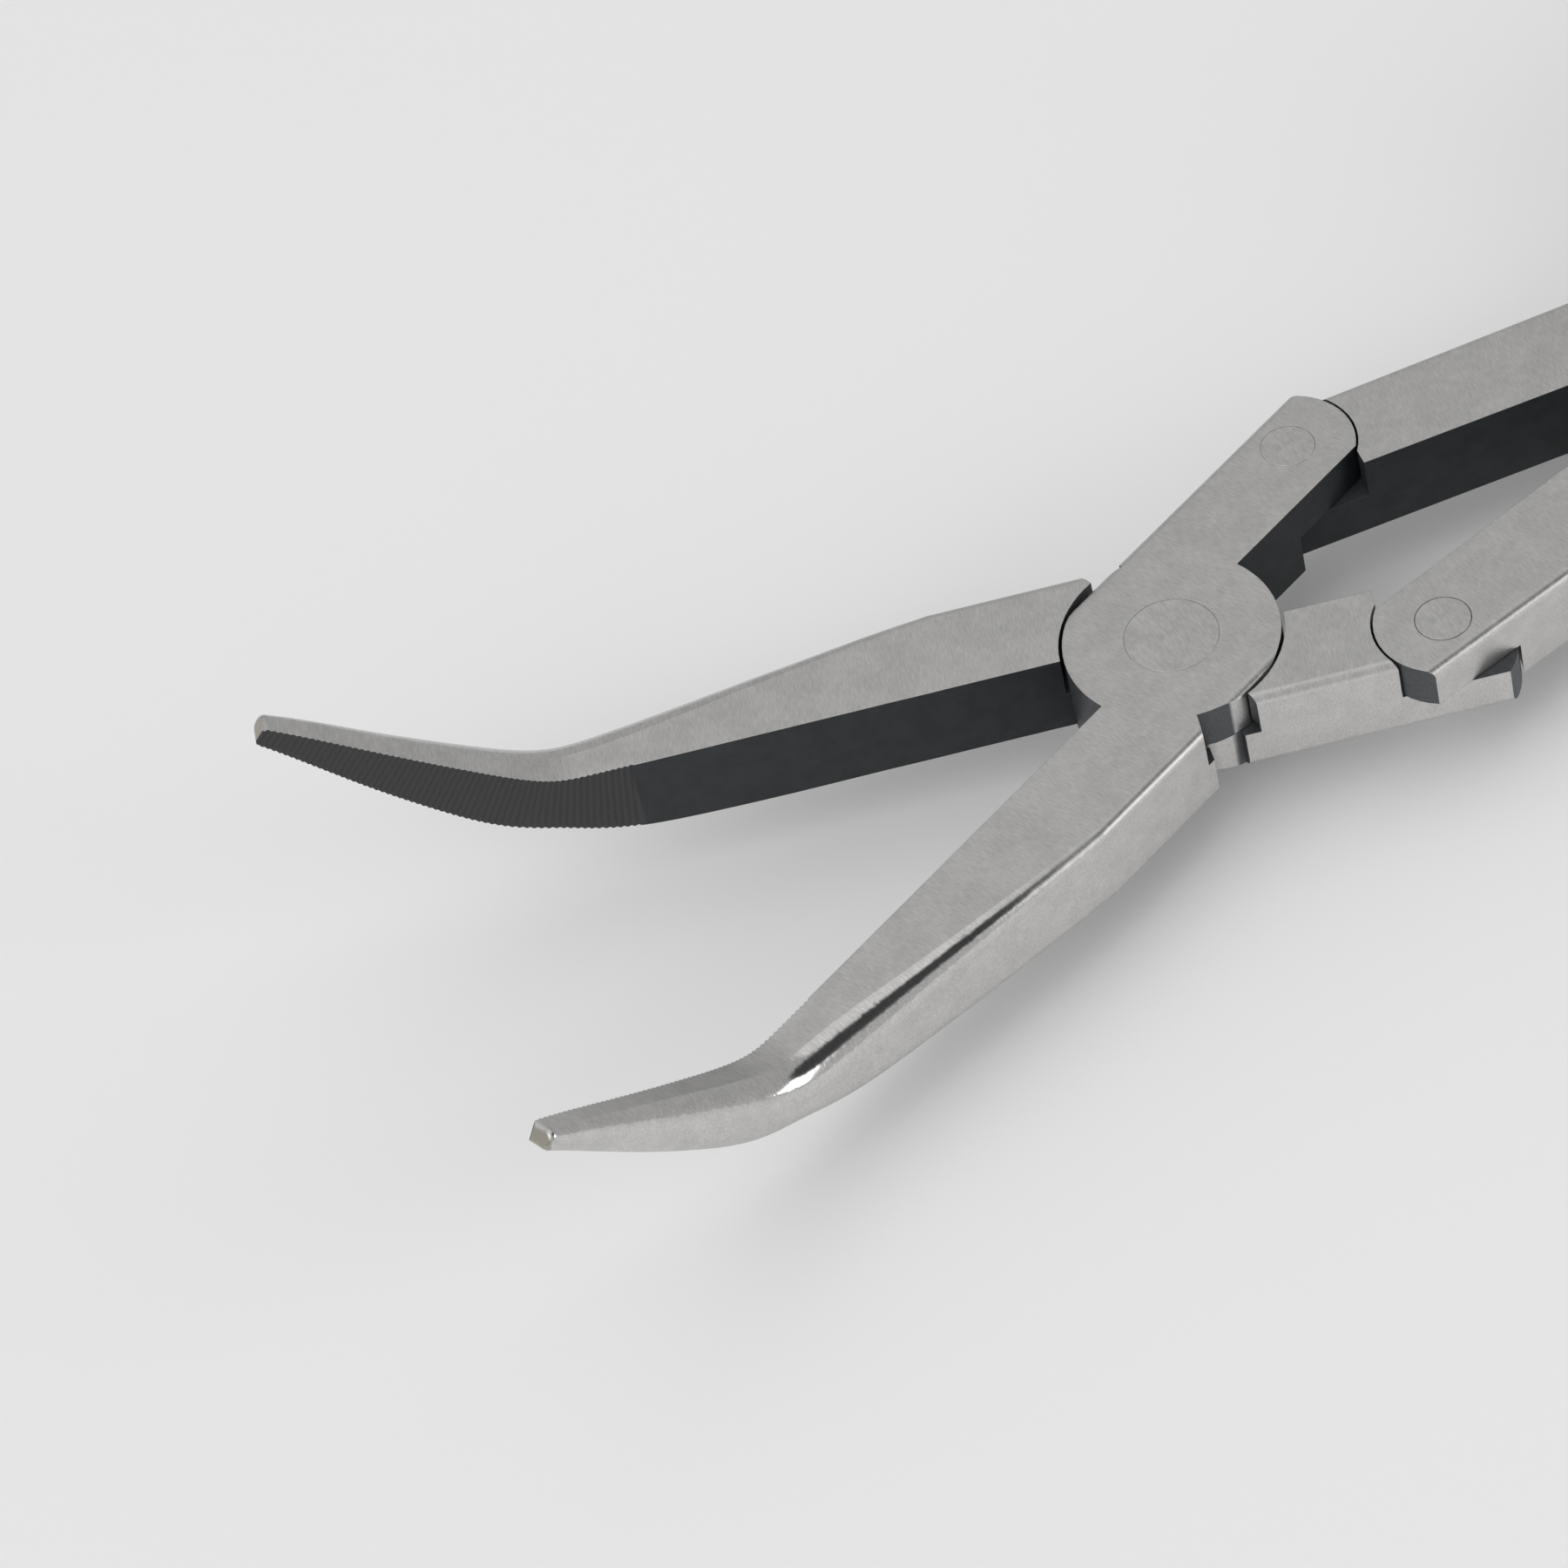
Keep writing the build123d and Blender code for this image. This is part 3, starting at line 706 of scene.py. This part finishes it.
# %% [markdown]
# ## Floor
# The pliers lie on a plain pale sweep. A curved backdrop could be modelled, but with a camera that looks
# down, a flat sheet much larger than the view looks the same. It lies just under the lowest point.

# %% floor
FLOOR_HALF = 6.0       # metres from the middle to each edge
FLOOR_GAP = 0.0005     # under the lowest point


def pale_floor():
    low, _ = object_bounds()
    mesh = bpy.data.meshes.new("floor")
    half = FLOOR_HALF
    z = low[2] - FLOOR_GAP
    corners = [(-half, -half, z), (half, -half, z), (half, half, z), (-half, half, z)]
    mesh.from_pydata(corners, [], [(0, 1, 2, 3)])
    floor = bpy.data.objects.new("floor", mesh)
    bpy.context.scene.collection.objects.link(floor)
    recipe = Recipe("pale_floor")
    recipe.set("Base Color", (0.93, 0.93, 0.93, 1))
    recipe.set("Roughness", 0.95)
    recipe.set("Specular IOR Level", 0.1)
    mesh.materials.append(recipe.material)
    floor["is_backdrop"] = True
    return floor


floor = pale_floor()

# %% [markdown]
# ## Light
# Polished steel looks like what it reflects, so the lights are large and even: a pale room all round, two
# large softboxes above and a smaller one low down, which draws the bright line on the polished nose. The
# room has one dark patch, because polish shows as a dark line beside a bright one. Many small lamps
# would leave spots on the flats.

# %% room and lights
ROOM_STRENGTH = 0.62
PATCH_TOWARDS = (0.49, -0.42, 0.77)
PATCH_STRENGTH = 0.08
PATCH_EDGE = (0.90, 0.97)    # cosine of the angle from its middle, where it starts and where it is darkest
bpy.context.scene.view_settings.view_transform = "Standard"


def softbox(name, at, size, strength, target=(0, 0, 0.004)):
    """A square of even light that faces the joint."""
    data = bpy.data.lights.new(name, "AREA")
    data.shape = "SQUARE"
    data.size = size
    data.energy = strength * size * size * pi
    lamp = bpy.data.objects.new(name, data)
    look = Vector(target) - Vector(at)
    up = Vector((0, 0, 1)) if abs(look.normalized().z) < 0.95 else Vector((0, 1, 0))
    lamp.matrix_world = Matrix.Translation(Vector(at)) @ aim(look, up)
    bpy.context.scene.collection.objects.link(lamp)
    return lamp


world = bpy.data.worlds.new("studio")
world.use_nodes = True
background = world.node_tree.nodes["Background"]
background.inputs["Color"].default_value = (1, 1, 1, 1)


def darken_room(towards, strength, dark):
    """A room of even light with one dark patch, which the polished noses show as a dark line."""
    tree = world.node_tree
    direction = tree.nodes.new("ShaderNodeTexCoord").outputs["Generated"]
    dot = tree.nodes.new("ShaderNodeVectorMath")
    dot.operation = "DOT_PRODUCT"
    tree.links.new(direction, dot.inputs[0])
    dot.inputs[1].default_value = Vector(towards).normalized()
    fall = tree.nodes.new("ShaderNodeMapRange")
    fall.interpolation_type = "SMOOTHSTEP"
    tree.links.new(dot.outputs["Value"], fall.inputs[0])
    for place, value in zip((1, 2, 3, 4), (*PATCH_EDGE, strength, dark)):
        fall.inputs[place].default_value = value
    tree.links.new(fall.outputs[0], background.inputs["Strength"])


darken_room(PATCH_TOWARDS, ROOM_STRENGTH, PATCH_STRENGTH)
bpy.context.scene.world = world
softbox("high_softbox", (-0.15, 0.3, 1.5), 1.4, 0.5)
softbox("side_softbox", (-1.1, -0.5, 1.2), 1.3, 1.1)
softbox("low_softbox", (0.9, -0.8, 0.45), 0.6, 2.4)
